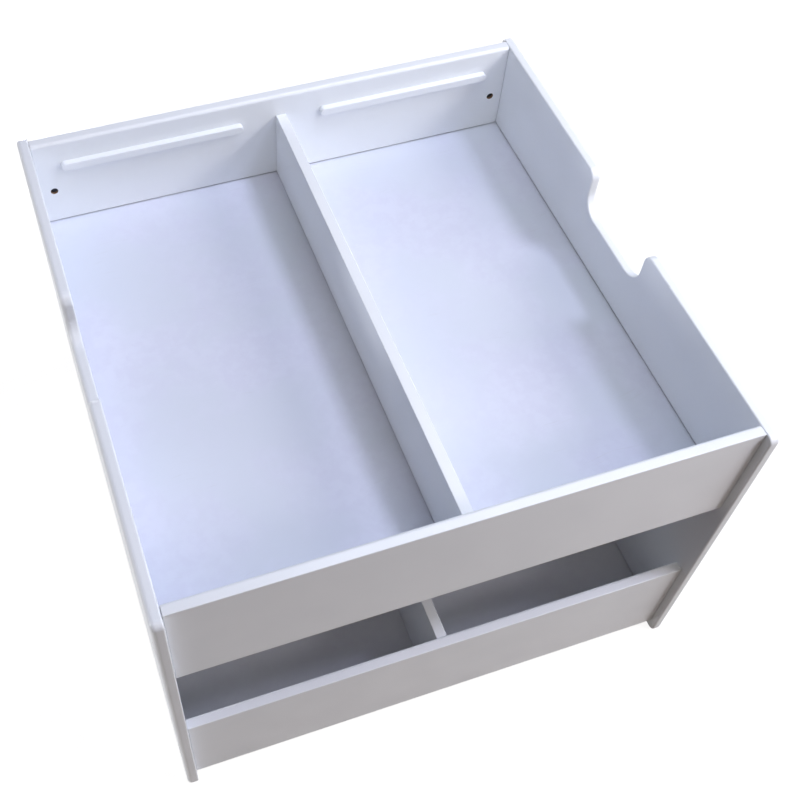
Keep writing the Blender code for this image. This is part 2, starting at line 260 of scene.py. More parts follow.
def rod(name: str, start: Vector, end: Vector, radius: float, sides: int = HOLE_SIDES) -> Piece:
    """A round bar between two points, ready to be shaped.

    Args:
        name: the piece's name.
        start: the middle of one end.
        end: the middle of the other end.
        radius: half its thickness.
        sides: how many flats make its round.

    Returns:
        The piece.
    """
    deselect_all()
    run = end - start
    turn = run.to_track_quat("Z", "Y").to_euler()
    bpy.ops.mesh.primitive_cylinder_add(
        vertices=sides, radius=radius, depth=run.length, location=(start + end) / 2, rotation=turn
    )
    return new_piece(name)


def apply_modifier(piece: Piece, kind: str, **settings: object) -> None:
    """Add a modifier to a piece, set it and apply it.

    Args:
        piece: the object to change.
        kind: Blender's name of the modifier's type.
        **settings: its properties.
    """
    take(piece)
    bpy.ops.object.modifier_add(type=kind)
    modifier = piece.modifiers[-1]
    for name, value in settings.items():
        setattr(modifier, name, value)
    bpy.ops.object.modifier_apply(modifier=modifier.name)


def carve(board: Piece, cutter: Piece, lining: Material | None = None) -> None:
    """Take a cutter's shape out of a board, and throw the cutter away.

    Args:
        board: the piece that is cut, with its own material in place.
        cutter: the shape that goes.
        lining: what the cut lays bare, or None where it is finished as the board is.
    """
    if lining is not None:
        cutter.data.materials.append(lining)
    apply_modifier(
        board, "BOOLEAN", operation="DIFFERENCE", solver="EXACT", material_mode="TRANSFER", object=cutter
    )
    bpy.data.objects.remove(cutter)


def round_over(piece: Piece, element: Element, test: Callable[[object], bool], rounding: Round) -> None:
    """Round the edges or corners of a piece that pass a test.

    Args:
        piece: the object to change.
        element: edges, or the vertices of a flat sheet.
        test: says whether an edge or a vertex is rounded.
        rounding: the round that it gets.
    """
    with editing(piece):
        choose(piece, element, test)
        bpy.ops.mesh.bevel(
            offset=rounding.radius, segments=rounding.segments, profile=QUARTER_ROUND, affect=element.name,
            clamp_overlap=False,
        )


def ease_normals(piece: Piece) -> None:
    """Shade a piece smoothly over its rounds and keep its flats flat.

    Args:
        piece: the finished piece.
    """
    take(piece)
    bpy.ops.object.shade_smooth_by_angle(angle=SHARP_ANGLE)
    apply_modifier(piece, "WEIGHTED_NORMAL", keep_sharp=True)


def paint(piece: Piece, material: Material) -> None:
    """Give a piece its material, in its first slot."""
    piece.data.materials.clear()
    piece.data.materials.append(material)


def mount(piece: Piece, node: str, slot: str) -> None:
    """Finish a piece's shading and hang it from the frame in the place of its CAD node.

    Args:
        piece: the finished piece.
        node: the CAD node that it stands for.
        slot: the record's material slot of its finish.
    """
    ease_normals(piece)
    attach(piece, BODY)
    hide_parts(node)
    LOG.info("%s stands for %s, in %s, with %d faces", piece.name, node, slot, len(piece.data.polygons))


def mount_copies(pattern: Piece, way: str, slot: str, copies: list[tuple[str, Matrix, Material]]) -> None:
    """Mount a copy of a finished pattern at each place, and throw the pattern away.

    Args:
        pattern: the piece, made at the origin.
        way: how it is made, which starts the copies' names.
        slot: the record's material slot of their finish.
        copies: for each copy, the CAD node that it stands for, where it goes and its material.
    """
    for node, matrix, material in copies:
        take(pattern)
        bpy.ops.object.duplicate(linked=False)
        bpy.context.object.matrix_world = matrix
        copy = new_piece(f"{way}_{node}")
        paint(copy, material)
        mount(copy, node, slot)
    bpy.data.objects.remove(pattern)


def cleared_tree(owner: Material | bpy.types.World) -> NodeTree:
    """Empty the node tree of a new material or world.

    Args:
        owner: the material or world.

    Returns:
        Its node tree.
    """
    owner.use_nodes = True
    owner.node_tree.nodes.clear()
    return owner.node_tree


class Wiring:
    """Adds nodes to one node tree, with their sockets set or joined as they are made."""

    def __init__(self, tree: NodeTree) -> None:
        """Work on a material's, a world's or a group's node tree."""
        self.tree = tree

    def node(self, kind: str, inputs: dict[str | int, object] | None = None, **settings: object) -> bpy.types.Node:
        """Add one node.

        Args:
            kind: Blender's name of the node's type.
            inputs: for each input socket, the output socket that feeds it or its value.
            **settings: the node's own properties.

        Returns:
            The node.
        """
        made = self.tree.nodes.new(kind)
        for name, value in settings.items():
            setattr(made, name, value)
        for socket, value in (inputs or {}).items():
            if isinstance(value, Socket):
                self.tree.links.new(value, made.inputs[socket])
            elif isinstance(value, tuple) and made.inputs[socket].type == "RGBA":
                made.inputs[socket].default_value = (*value, 1.0)
            else:
                made.inputs[socket].default_value = value
        return made

    def maths(self, operation: str, first: object, second: object) -> Socket:
        """One step of arithmetic, by Blender's name of the operation, on two values or sockets."""
        return self.node("ShaderNodeMath", {0: first, 1: second}, operation=operation).outputs[0]

    def vector_maths(self, operation: str, first: object, second: object) -> Socket:
        """One step of vector arithmetic, by Blender's name of the operation, on two vectors or sockets."""
        return self.node("ShaderNodeVectorMath", {0: first, 1: second}, operation=operation).outputs["Vector"]

    def spread(self, value: Socket, low: object, high: object, to_low: object = 0.0, to_high: object = 1.0) -> Socket:
        """Stretch a value smoothly from one range to another, and keep it in there.

        Args:
            value: the value's socket.
            low: where the first range starts.
            high: where it ends.
            to_low: what the start becomes.
            to_high: what the end becomes.

        Returns:
            The result's socket.
        """
        ranges = {"Value": value, "From Min": low, "From Max": high, "To Min": to_low, "To Max": to_high}
        return self.node("ShaderNodeMapRange", ranges, interpolation_type="SMOOTHSTEP").outputs["Result"]

    def blend(self, share: object, first: object, second: object) -> Socket:
        """Blend two colours or sockets, by how much of the second shows."""
        return self.node("ShaderNodeMix", {0: share, 6: first, 7: second}, data_type="RGBA").outputs[2]

    def noise(self, vector: Socket, scale: object, detail: float, roughness: float = 0.5) -> Socket:
        """Soft noise.

        Args:
            vector: the coordinates' socket.
            scale: how many lumps fit in a metre.
            detail: how many finer layers it has.
            roughness: how strong these are.

        Returns:
            The noise's socket, from 0 to 1.
        """
        inputs = {"Vector": vector, "Scale": scale, "Detail": detail, "Roughness": roughness}
        return self.node("ShaderNodeTexNoise", inputs).outputs["Fac"]


class Effect(Enum):
    """The effects that several finishes share, each a node group."""

    CLOUDS = "soft_clouds"
    ROLLED = "rolled_texture"
    RUBBED = "rubbed_edges"
    SPECKS = "sparse_specks"
    SCRATCHES = "hair_scratches"
    FIBRES = "board_fibres"


class EffectGroup(Wiring):
    """The inside of a shared effect: a node group with a place and other named inputs, and one output."""

    def __init__(self, effect: Effect, inputs: dict[str, str], output: str) -> None:
        """Start the group.

        Args:
            effect: which effect it is.
            inputs: for each input but the place, its name and its kind of socket.
            output: Color for a colour, Mask for a mask or Height for a relief.
        """
        super().__init__(bpy.data.node_groups.new(effect.value, "ShaderNodeTree"))
        for name, kind in {"Vector": "Vector", **inputs}.items():
            self.tree.interface.new_socket(name, in_out="INPUT", socket_type="NodeSocket" + kind)
        kind = "Color" if output == "Color" else "Float"
        self.tree.interface.new_socket(output, in_out="OUTPUT", socket_type="NodeSocket" + kind)
        self.start = self.node("NodeGroupInput")

    def given(self, name: str) -> Socket:
        """The socket that holds an input."""
        return self.start.outputs[name]

    def finished(self, result: Socket) -> NodeTree:
        """Put the result out, and hand over the group."""
        self.node("NodeGroupOutput", {0: result})
        return self.tree


class PaintShop:
    """Makes each shared effect once, and mixes the finishes' materials from them."""

    def __init__(self) -> None:
        """Make every effect."""
        self.effects = {
            Effect.CLOUDS: self.clouds(),
            Effect.ROLLED: self.rolled(),
            Effect.RUBBED: self.rubbed(),
            Effect.SPECKS: self.specks(),
            Effect.SCRATCHES: self.scratches(),
            Effect.FIBRES: self.fibres(),
        }

    @staticmethod
    def clouds() -> NodeTree:
        """Two tones that drift into each other in wide clouds.

        Returns:
            The group.
        """
        group = EffectGroup(Effect.CLOUDS, {"Scale": "Float", "First": "Color", "Second": "Color"}, "Color")
        drift = group.noise(group.given("Vector"), group.given("Scale"), detail=4.0, roughness=0.55)
        share = group.spread(drift, low=0.36, high=0.64)
        return group.finished(group.blend(share, group.given("First"), group.given("Second")))

    @staticmethod
    def rolled() -> NodeTree:
        """The height of rolled paint: fine peel on slow waves.

        Returns:
            The group.
        """
        inputs = {"Peel Scale": "Float", "Wave Scale": "Float", "Wave Share": "Float"}
        group = EffectGroup(Effect.ROLLED, inputs, "Height")
        peel = group.noise(group.given("Vector"), group.given("Peel Scale"), detail=2.0)
        wave = group.noise(group.given("Vector"), group.given("Wave Scale"), detail=1.0)
        return group.finished(group.maths("ADD", peel, group.maths("MULTIPLY", wave, group.given("Wave Share"))))

    @staticmethod
    def rubbed() -> NodeTree:
        """Where hands and bricks rub: patches on the surfaces that turn from one flat to the next.

        Returns:
            The group.
        """
        group = EffectGroup(Effect.RUBBED, {"Normal": "Vector", "Scale": "Float", "Amount": "Float"}, "Mask")
        size = group.node("ShaderNodeVectorMath", {0: group.given("Normal")}, operation="ABSOLUTE")
        parts = group.node("ShaderNodeSeparateXYZ", {0: size.outputs["Vector"]}).outputs
        flatness = group.maths("MAXIMUM", group.maths("MAXIMUM", parts["X"], parts["Y"]), parts["Z"])
        turned = group.spread(flatness, low=0.76, high=0.97, to_low=1.0, to_high=0.0)
        patches = group.noise(group.given("Vector"), group.given("Scale"), detail=5.0, roughness=0.6)
        share = group.spread(patches, low=0.5, high=0.72, to_high=group.given("Amount"))
        return group.finished(group.maths("MULTIPLY", turned, share))

    @staticmethod
    def specks() -> NodeTree:
        """A few small round specks, such as dust under paint.

        Returns:
            The group.
        """
        group = EffectGroup(Effect.SPECKS, {"Scale": "Float", "Share": "Float", "Size": "Float"}, "Mask")
        cells = group.node("ShaderNodeTexVoronoi", {"Vector": group.given("Vector"), "Scale": group.given("Scale")})
        draw = group.node("ShaderNodeSeparateColor", {0: cells.outputs["Color"]})
        drawn = group.maths("LESS_THAN", draw.outputs[0], group.given("Share"))
        dot = group.spread(cells.outputs["Distance"], low=0.0, high=group.given("Size"), to_low=1.0, to_high=0.0)
        return group.finished(group.maths("MULTIPLY", drawn, dot))

    @staticmethod
    def scratches() -> NodeTree:
        """Fine scratches that run roughly one way, and come and go.

        Returns:
            The group.
        """
        group = EffectGroup(Effect.SCRATCHES, {"Scale": "Float", "Stretch": "Vector", "Amount": "Float"}, "Mask")
        place = group.given("Vector")
        bend = group.node("ShaderNodeTexNoise", {"Vector": place, "Scale": 9.0, "Detail": 1.0})
        shake = group.node("ShaderNodeVectorMath", {0: bend.outputs["Color"], "Scale": 0.05}, operation="SCALE")
        moved = group.vector_maths("ADD", place, shake.outputs["Vector"])
        drawn = group.vector_maths("MULTIPLY", moved, group.given("Stretch"))
        lines = group.noise(drawn, group.given("Scale"), detail=3.0, roughness=0.65)
        hairs = group.spread(lines, low=0.62, high=0.70, to_high=group.given("Amount"))
        patches = group.spread(group.noise(place, scale=14.0, detail=2.0), low=0.48, high=0.6)
        return group.finished(group.maths("MULTIPLY", hairs, patches))

    @staticmethod
    def fibres() -> NodeTree:
        """Short matted fibres, as on a cut edge of fibreboard.

        Returns:
            The group.
        """
        group = EffectGroup(Effect.FIBRES, {"Scale": "Float", "Light": "Color", "Dark": "Color"}, "Color")
        flat = group.vector_maths("MULTIPLY", group.given("Vector"), (1.0, 1.0, 2.5))
        mat = group.noise(flat, group.given("Scale"), detail=6.0, roughness=0.7)
        return group.finished(group.blend(group.spread(mat, *MOST_NOISE), group.given("Light"), group.given("Dark")))

    def mix(self, finish: "Finish") -> Material:
        """Make a finish's material.

        Args:
            finish: the finish.

        Returns:
            The material.
        """
        coat = Coat(finish.name, self.effects)
        finish.lay(coat)
        return coat.material


class Coat(Wiring):
    """The wiring of a finish's material, with the shared effects at hand."""

    def __init__(self, name: str, effects: dict[Effect, NodeTree]) -> None:
        """Start a material with only the coordinates that its patterns lie on.

        Args:
            name: the material's name.
            effects: the shared effects' groups.
        """
        self.material = bpy.data.materials.new(name)
        super().__init__(cleared_tree(self.material))
        self.effects = effects
        self.place = self.node("ShaderNodeTexCoord").outputs["Object"]

    def effect(self, effect: Effect, inputs: dict[str, object]) -> Socket:
        """Place a shared effect, on the piece's own coordinates where its inputs give no others."""
        return self.node("ShaderNodeGroup", {"Vector": self.place, **inputs}, node_tree=self.effects[effect]).outputs[0]

    def uneven(self, noise: Socket, smooth: float, drift: float) -> Socket:
        """A roughness that drifts upwards from its smoothest with a noise."""
        return self.spread(noise, *MOST_NOISE, smooth, smooth + drift)

    def add_times(self, value: Socket, more: Socket, times: float) -> Socket:
        """A value with some times another added."""
        return self.maths("ADD", value, self.maths("MULTIPLY", more, times))

    def close(self, colour: Socket, roughness: Socket, height: Socket, relief: float, metallic: float = 0.0) -> None:
        """Put the shader in, fed by the finish's colour, roughness and relief.

        Args:
            colour: the base colour's socket.
            roughness: the roughness's socket.
            height: the relief's socket, from 0 to 1.
            relief: how deep the relief is, in metres.
            metallic: 1 for bare metal, else 0.
        """
        bump = self.node("ShaderNodeBump", {"Height": height, "Distance": relief, "Strength": 1.0})
        inputs = {
            "Base Color": colour,
            "Roughness": roughness,
            "Metallic": metallic,
            "Normal": bump.outputs["Normal"],
        }
        shader = self.node("ShaderNodeBsdfPrincipled", inputs)
        self.node("ShaderNodeOutputMaterial", {"Surface": shader.outputs["BSDF"]})


class Finish(ABC):
    """A finish of the table, which lays its own nodes in its material."""

    name: str

    @abstractmethod
    def lay(self, coat: Coat) -> None:
        """Lay the finish's nodes in its new material."""


@dataclass(frozen=True)
class SatinPaint(Finish):
    """Satin white paint on fibreboard, rolled on, and a little rubbed where its edges are handled."""

    name: str = "satin_white_paint"
    slot: str = "white_paint"
    body: Colour = (0.838, 0.865, 0.902)
    drift: Colour = (0.814, 0.845, 0.884)
    rubbed: Colour = (0.640, 0.640, 0.650)
    speck: Colour = (0.560, 0.550, 0.540)
    cloud_scale: float = 5.0
    rub_scale: float = 45.0
    rub_amount: float = 0.28
    rub_roughness: float = 0.3
    speck_scale: float = 90.0
    speck_share: float = 0.02
    speck_size: float = 0.09
    speck_height: float = 2.0
    gloss_scale: float = 24.0
    roughness: float = 0.28
    roughness_drift: float = 0.10
    peel_scale: float = 620.0
    wave_scale: float = 55.0
    wave_share: float = 1.2
    relief: float = 0.00002

    def lay(self, coat: Coat) -> None:
        """Lay the paint's nodes.

        Args:
            coat: the material's wiring.
        """
        normal = coat.node("ShaderNodeNewGeometry").outputs["Normal"]
        tone = coat.effect(Effect.CLOUDS, {"Scale": self.cloud_scale, "First": self.body, "Second": self.drift})
        rub = coat.effect(Effect.RUBBED, {"Normal": normal, "Scale": self.rub_scale, "Amount": self.rub_amount})
        dust = {"Scale": self.speck_scale, "Share": self.speck_share, "Size": self.speck_size}
        specks = coat.effect(Effect.SPECKS, dust)
        colour = coat.blend(specks, coat.blend(rub, tone, self.rubbed), self.speck)
        gloss = coat.noise(coat.place, self.gloss_scale, detail=3.0)
        roughness = coat.uneven(gloss, self.roughness, self.roughness_drift)
        rolling = {"Peel Scale": self.peel_scale, "Wave Scale": self.wave_scale, "Wave Share": self.wave_share}
        peel = coat.effect(Effect.ROLLED, rolling)
        coat.close(
            colour,
            coat.add_times(roughness, rub, self.rub_roughness),
            coat.add_times(peel, specks, self.speck_height),
            self.relief,
        )


@dataclass(frozen=True)
class FloorPaint(Finish):
    """The smooth bluish white face of a thin floor, lightly scuffed by play."""

    name: str = "bluish_white_panel"
    slot: str = "white_panel"
    body: Colour = (0.675, 0.700, 0.815)
    drift: Colour = (0.645, 0.685, 0.775)
    mottle: Colour = (0.652, 0.672, 0.790)
    scuff: Colour = (0.570, 0.580, 0.620)
    cloud_scale: float = 9.0
    mottle_scale: float = 75.0
    scratch_scale: float = 26.0
    scratch_stretch: Place = (1.0, 18.0, 1.0)
    scratch_amount: float = 0.22
    scratch_roughness: float = 0.6
    gloss_scale: float = 18.0
    roughness: float = 0.33
    roughness_drift: float = 0.14
    peel_scale: float = 900.0
    wave_scale: float = 30.0
    wave_share: float = 2.5
    relief: float = 0.000012

    def lay(self, coat: Coat) -> None:
        """Lay the floor's nodes.

        Args:
            coat: the material's wiring.
        """
        spots = coat.effect(Effect.CLOUDS, {"Scale": self.mottle_scale, "First": self.body, "Second": self.mottle})
        tone = coat.effect(Effect.CLOUDS, {"Scale": self.cloud_scale, "First": spots, "Second": self.drift})
        play = {"Scale": self.scratch_scale, "Stretch": self.scratch_stretch, "Amount": self.scratch_amount}
        scratches = coat.effect(Effect.SCRATCHES, play)
        gloss = coat.noise(coat.place, self.gloss_scale, detail=4.0)
        roughness = coat.uneven(gloss, self.roughness, self.roughness_drift)
        rolling = {"Peel Scale": self.peel_scale, "Wave Scale": self.wave_scale, "Wave Share": self.wave_share}
        peel = coat.effect(Effect.ROLLED, rolling)
        coat.close(
            coat.blend(scratches, tone, self.scuff),
            coat.add_times(roughness, scratches, self.scratch_roughness),
            coat.maths("SUBTRACT", peel, scratches),
            self.relief,
        )


@dataclass(frozen=True)
class Steel(Finish):
    """A steel fastener's face, with turning marks and hair scratches."""

    name: str
    body: Colour
    drift: Colour
    roughness: float
    cloud_scale: float = 260.0
    scratch_scale: float = 300.0
    scratch_stretch: Place = (1.0, 1.0, 9.0)
    scratch_amount: float = 0.5
    scratch_roughness: float = 0.25
    relief: float = 0.00001

    def lay(self, coat: Coat) -> None:
        """Lay the steel's nodes.

        Args:
            coat: the material's wiring.
        """
        tone = coat.effect(Effect.CLOUDS, {"Scale": self.cloud_scale, "First": self.body, "Second": self.drift})
        marks = {"Scale": self.scratch_scale, "Stretch": self.scratch_stretch, "Amount": self.scratch_amount}
        scratches = coat.effect(Effect.SCRATCHES, marks)
        colour = coat.blend(scratches, tone, self.drift)
        roughness = coat.maths("ADD", coat.maths("MULTIPLY", scratches, self.scratch_roughness), self.roughness)
        coat.close(colour, roughness, scratches, self.relief, metallic=1.0)


@dataclass(frozen=True)
class BareFibreboard(Finish):
    """The board itself, which a drilled hole lays bare; set dark bluish grey, it also lines a groove as painted shade.
    """

    name: str = "bare_fibreboard"
    light: Colour = (0.36, 0.235, 0.150)
    dark: Colour = (0.19, 0.115, 0.070)
    fibre_scale: float = 900.0
    mat_scale: float = 1400.0
    roughness: float = 0.75
    roughness_drift: float = 0.1
    relief: float = 0.0001

    def lay(self, coat: Coat) -> None:
        """Lay the bare board's nodes.

        Args:
            coat: the material's wiring.
        """
        colour = coat.effect(Effect.FIBRES, {"Scale": self.fibre_scale, "Light": self.light, "Dark": self.dark})
        matted = coat.noise(coat.place, self.mat_scale, detail=4.0)
        coat.close(colour, coat.uneven(matted, self.roughness, self.roughness_drift), matted, self.relief)


@dataclass(frozen=True)
class BareBeech(Finish):
    """Bare turned beech, with fine rings and short dark flecks along the grain."""

    axis: Axis
    slot: str = "beech"
    light: Colour = (0.62, 0.42, 0.25)
    dark: Colour = (0.46, 0.28, 0.15)
    fleck: Colour = (0.28, 0.16, 0.08)
    along_share: float = 0.08
    ring_scale: float = 420.0
    fleck_scale: float = 1500.0
    fleck_share: float = 0.3
    fleck_size: float = 0.3
    fleck_depth: float = 0.6
    roughness: float = 0.62
    roughness_drift: float = 0.15
    relief: float = 0.00008

    @property
    def name(self) -> str:
        """The material's name."""
        return "bare_beech_along_" + word(self.axis)

    def lay(self, coat: Coat) -> None:
        """Lay the beech's nodes, with its grain along the dowel.

        Args:
            coat: the material's wiring.
        """
        stretch = tuple(self.along_share if axis is self.axis else 1.0 for axis in Axis)
        grain = coat.vector_maths("MULTIPLY", coat.place, stretch)
        rings = {"Vector": grain, "Scale": self.ring_scale, "First": self.light, "Second": self.dark}
        tone = coat.effect(Effect.CLOUDS, rings)
        sprinkling = {"Vector": grain, "Scale": self.fleck_scale, "Share": self.fleck_share, "Size": self.fleck_size}
        flecks = coat.effect(Effect.SPECKS, sprinkling)
        colour = coat.blend(coat.maths("MULTIPLY", flecks, self.fleck_depth), tone, self.fleck)
        roughness = coat.spread(flecks, 0.0, 1.0, self.roughness, self.roughness + self.roughness_drift)
        coat.close(colour, roughness, coat.maths("SUBTRACT", 1.0, flecks), self.relief)


@dataclass(frozen=True)
class Finishes:
    """The materials of the table, each made once."""

    paint: Material
    floors: dict[Storey, Material]
    zinc: Material
    black: Material
    bare: Material
    # painted shade that lines the floors' grooves
    groove: Material
    beech: dict[Axis, Material]

    @classmethod
    def make(cls) -> "Finishes":
        """Make every material.

        Returns:
            The materials.
        """
        shop = PaintShop()
        # The bin's floor is the same board as the tray's. Its colour is a greyer copy, a little lighter in red and
        # green, set for the bin's shade: painted light.
        bin_floor = FloorPaint(
            "greyish_white_panel", body=(0.70, 0.72, 0.77), drift=(0.67, 0.69, 0.74), mottle=(0.68, 0.69, 0.75)
        )
        zinc = Steel("zinc_plated_steel", (0.64, 0.65, 0.66), (0.50, 0.51, 0.53), 0.26)
        # The barrel nuts' steel is set nearly black, which keeps their holes dark.
        black = Steel("blackened_steel", (0.085, 0.088, 0.095), (0.05, 0.05, 0.055), 0.42)
        return cls(
            paint=shop.mix(SatinPaint()),
            floors={Storey.UPPER: shop.mix(FloorPaint()), Storey.LOWER: shop.mix(bin_floor)},
            zinc=shop.mix(zinc),
            black=shop.mix(black),
            bare=shop.mix(BareFibreboard()),
            # The floors' grooves are lined dark bluish grey instead of the board's brown. This is painted shade, so
            # that the open seam shows as a dark line.
            groove=shop.mix(BareFibreboard("dusty_groove", (0.050, 0.058, 0.075), (0.028, 0.032, 0.042))),
            beech={axis: shop.mix(BareBeech(axis)) for axis in (Axis.X, Axis.Y)},
        )


@dataclass(frozen=True)
class Fitting:
    """A bolt, barrel nut or dowel of the frame, and the axis that it lies along."""

    node: str
    axis: Axis

    def ends(self) -> tuple[Vector, Vector]:
        """The middles of its two ends.

        Returns:
            The two points, the lower one first.
        """
        low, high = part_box(self.node)
        start = (low + high) / 2
        end = start.copy()
        start[self.axis.value] = low[self.axis.value]
        end[self.axis.value] = high[self.axis.value]
        return start, end

    def radius(self) -> float:
        """Half its greatest thickness."""
        low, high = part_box(self.node)
        return max((high - low)[axis.value] / 2 for axis in Axis if axis is not self.axis)

    def stretched(self, more_low: float, more_high: float) -> tuple[Vector, Vector]:
        """Its ends, moved apart.

        Args:
            more_low: how much further the lower end lies.
            more_high: how much further the higher end lies.

        Returns:
            The two points, the lower one first.
        """
        start, end = self.ends()
        start[self.axis.value] -= more_low
        end[self.axis.value] += more_high
        return start, end


def drill_for_dowels(board: Piece, nodes: list[str], axis: Axis, finishes: Finishes) -> None:
    """Drill a board for the dowels of a joint.

    Args:
        board: the board.
        nodes: the dowels' CAD nodes.
        axis: the way that the dowels lie.
        finishes: the table's materials.
    """
    for node in nodes:
        dowel = Fitting(node, axis)
        start, end = dowel.stretched(HOLE_END_PLAY, HOLE_END_PLAY)
        carve(board, rod("dowel_hole", start, end, dowel.radius() + HOLE_GAP, DOWEL_HOLE_SIDES), finishes.bare)


def rout_groove(board: Piece, storey: Storey, finishes: Finishes) -> None:
    """Cut the groove that a floor sits in, with its play.

    Args:
        board: the panel or rail.
        storey: whose floor it is.
        finishes: the table's materials.
    """
    low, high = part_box(storey.value + "_floor")
    play = Vector((JOINT_GAP, JOINT_GAP, JOINT_GAP))
    top_play = Vector((JOINT_GAP, JOINT_GAP, FLOOR_SEAM))
    # The groove's walls get the dark painted shade, so that the seam above the floor reads as a dark line.
    carve(board, slab("floor_groove", low - play, high + top_play), finishes.groove)


@dataclass(frozen=True)
class BoltSizes:
    """Sizes of a furniture bolt, whose flat head lies flush in the panel, and of the hole that it needs."""

    shank_radius: float = 0.0025
    head_radius: float = 0.006
    head_thickness: float = 0.0025
    head_round: Round = Round(0.0005, 3)
    socket_width: float = 0.004
    socket_depth: float = 0.0016
    socket_sides: int = 6
    tip_length: float = 0.0008
    tip_share: float = 0.7

    def bore(self, board: Piece, node: str, side: Side, finishes: Finishes) -> None:
        """Bore a board for a bolt, with the seat for its head.

        Args:
            board: the piece to bore.
            node: the bolt's CAD node.
            side: the side of the table that its head is on.
            finishes: the table's materials.
        """
        low, high = Fitting(node, Axis.X).ends()
        head, tip = (high, low) if side is Side.RIGHT else (low, high)
        out = Vector((side.value, 0.0, 0.0))
        shaft = rod("bolt_bore", tip - out * HOLE_END_PLAY, head, self.shank_radius + HOLE_GAP)
        carve(board, shaft, finishes.bare)
        seat_floor = head - out * (self.head_thickness + JOINT_GAP)
        seat = rod("bolt_seat", seat_floor, head + out * CUT_OVERRUN, self.head_radius + HOLE_GAP)
        carve(board, seat, finishes.bare)


class Board(ABC):
    """A finished board of the table, which each kind shapes and fits out in its own way."""

    slot: ClassVar[str] = SatinPaint.slot

    @property
    @abstractmethod
    def node(self) -> str:
        """The board's CAD node."""

    @abstractmethod
    def shape(self) -> Piece:
        """Model the board, without its grooves and holes."""

    def finish(self, finishes: Finishes) -> Material:
        """The material on the board's faces."""
        return finishes.paint

    def fit_out(self, board: Piece, finishes: Finishes) -> None:
        """Cut the board's grooves and holes, where it has any."""

    def build(self, finishes: Finishes) -> None:
        """Make the board and hang it in its place.

        Args:
            finishes: the table's materials.
        """
        board = self.shape()
        paint(board, self.finish(finishes))
        self.fit_out(board, finishes)
        mount(board, self.node, self.slot)


@dataclass(frozen=True)
class SidePanel(Board):
    """A side panel: an upright board with a rounded rim, round corners and a hand notch in its top edge."""

    side: Side
    corner_round: Round = Round(0.008, 12)
    outer_round: Round = Round(0.005, 8)
    inner_round: Round = Round(0.0018, 8)
    notch_width: float = 0.119
    notch_depth: float = 0.052
    notch_top_round: Round = Round(0.012, 12)
    notch_base_round: Round = Round(0.023, 12)
    bolt: BoltSizes = BoltSizes()

    @property
    def node(self) -> str:
        """The panel's CAD node."""
        return word(self.side) + "_side_panel"

    def shape(self) -> Piece:
        """Model the panel as a flat sheet, then round its corners and thicken it.

        Returns:
            The piece.
        """
        low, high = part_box(self.node)
        panel = self.flat_sheet(low, high)
        self.round_corners(panel, low, high)
        self.thicken(panel, high.x - low.x)
        return panel

    def flat_sheet(self, low: Vector, high: Vector) -> Piece:
        """One face of the panel as a flat sheet, with the notch taken out of it.

        Args:
            low: the panel's lowest corner.
            high: its highest corner.

        Returns:
            The piece.
        """
        deselect_all()
        middle = (low + high) / 2
        size = high - low
        bpy.ops.mesh.primitive_plane_add(
            size=1.0, location=(low.x, middle.y, middle.z), rotation=(0.0, math.pi / 2, 0.0)
        )
        bpy.context.object.scale = (size.z, size.y, 1.0)
        sheet = new_piece("painted_" + self.node)
        floor = high.z - self.notch_depth
        half = self.notch_width / 2
        cuts = (((0.0, half, 0.0), (0, 1, 0)), ((0.0, -half, 0.0), (0, 1, 0)), ((0.0, 0.0, floor), (0, 0, 1)))
        with editing(sheet):
            for place, normal in cuts:
                bpy.ops.mesh.select_all(action="SELECT")
                bpy.ops.mesh.bisect(plane_co=place, plane_no=normal)
            choose(
                sheet, Element.FACES,
                lambda face: abs(face.calc_center_median().y) < half and face.calc_center_median().z > floor,
            )
            bpy.ops.mesh.delete(type="FACE")
            bpy.ops.mesh.select_all(action="SELECT")
            bpy.ops.mesh.dissolve_limited(angle_limit=FLAT_ANGLE)
        return sheet

    def round_corners(self, sheet: Piece, low: Vector, high: Vector) -> None:
        """Round the sheet's outer corners, and the notch's corners at its top and its base.

        Args:
            sheet: the flat sheet.
            low: the panel's lowest corner.
            high: its highest corner.
        """
        round_over(
            sheet, Element.VERTICES,
            lambda vertex: min(abs(vertex.co.y - low.y), abs(vertex.co.y - high.y)) < NEAR,
            self.corner_round,
        )
        half = self.notch_width / 2
        for height, rounding in ((high.z, self.notch_top_round), (high.z - self.notch_depth, self.notch_base_round)):
            round_over(
                sheet, Element.VERTICES,
                lambda vertex, z=height: abs(vertex.co.z - z) < NEAR and abs(abs(vertex.co.y) - half) < NEAR,
                rounding,
            )

    def thicken(self, sheet: Piece, thickness: float) -> None:
        """Give the sheet its thickness, and round its rim well outside and a little inside.

        Args:
            sheet: the flat sheet with its corners rounded.
            thickness: the panel's thickness.
        """
        with editing(sheet):
            bpy.ops.mesh.select_all(action="SELECT")
            extrude_along_x(thickness)
            bpy.ops.mesh.select_all(action="SELECT")
            bpy.ops.mesh.normals_make_consistent(inside=False)
        for way, rounding in ((self.side.value, self.outer_round), (-self.side.value, self.inner_round)):
            round_over(
                sheet, Element.EDGES,
                lambda edge, way=way: sum(face.normal.x * way > ALONG for face in edge.link_faces) == 1
                and all(abs(face.normal.x) > ALONG or abs(face.normal.x) < NEAR for face in edge.link_faces),
                rounding,
            )

    def fit_out(self, board: Piece, finishes: Finishes) -> None:
        """Cut the grooves for the floors and the holes for the bolts and dowels.

        Args:
            board: the solid panel.
            finishes: the table's materials.
        """
        for storey in Storey:
            rout_groove(board, storey, finishes)
            for face in Face:
                self.bolt.bore(board, joint(storey, face, self.side) + "bolt", self.side, finishes)
                drill_for_dowels(board, rail_dowels(storey, face, self.side), Axis.X, finishes)


